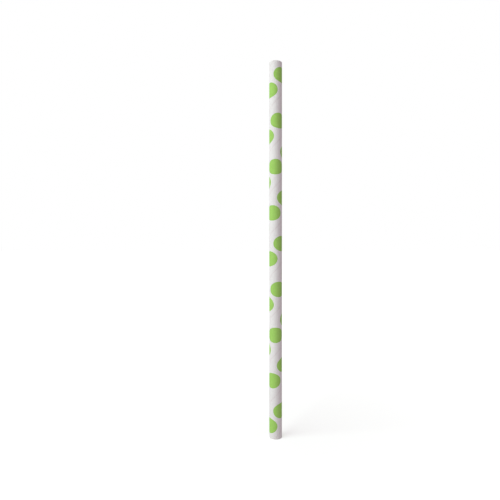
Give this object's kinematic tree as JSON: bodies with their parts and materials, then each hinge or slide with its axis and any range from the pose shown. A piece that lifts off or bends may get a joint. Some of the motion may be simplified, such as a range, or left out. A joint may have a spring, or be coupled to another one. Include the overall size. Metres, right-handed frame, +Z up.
{
  "type": "paper drinking straw",
  "caption": "Spirally wound paper drinking straw, white with green polka dots, open at both ends, standing on its end.",
  "frame": {"origin": "centre of the lower cut end, on the surface that the straw stands on", "axes": "+Z up along the straw's axis to its upper end in the picture, +X to the picture's right; the side seen in the picture faces -Y"},
  "size_m": [0.0066, 0.0066, 0.197],
  "materials": {
    "white_paper": "uncoated white paper, matt, faint fibre",
    "green_ink": "light green ink soaked into the same matt paper"
  },
  "bodies": {
    "root": {"paper_tube": "white_paper", "printed_dots": "green_ink"}
  },
  "joints": []
}
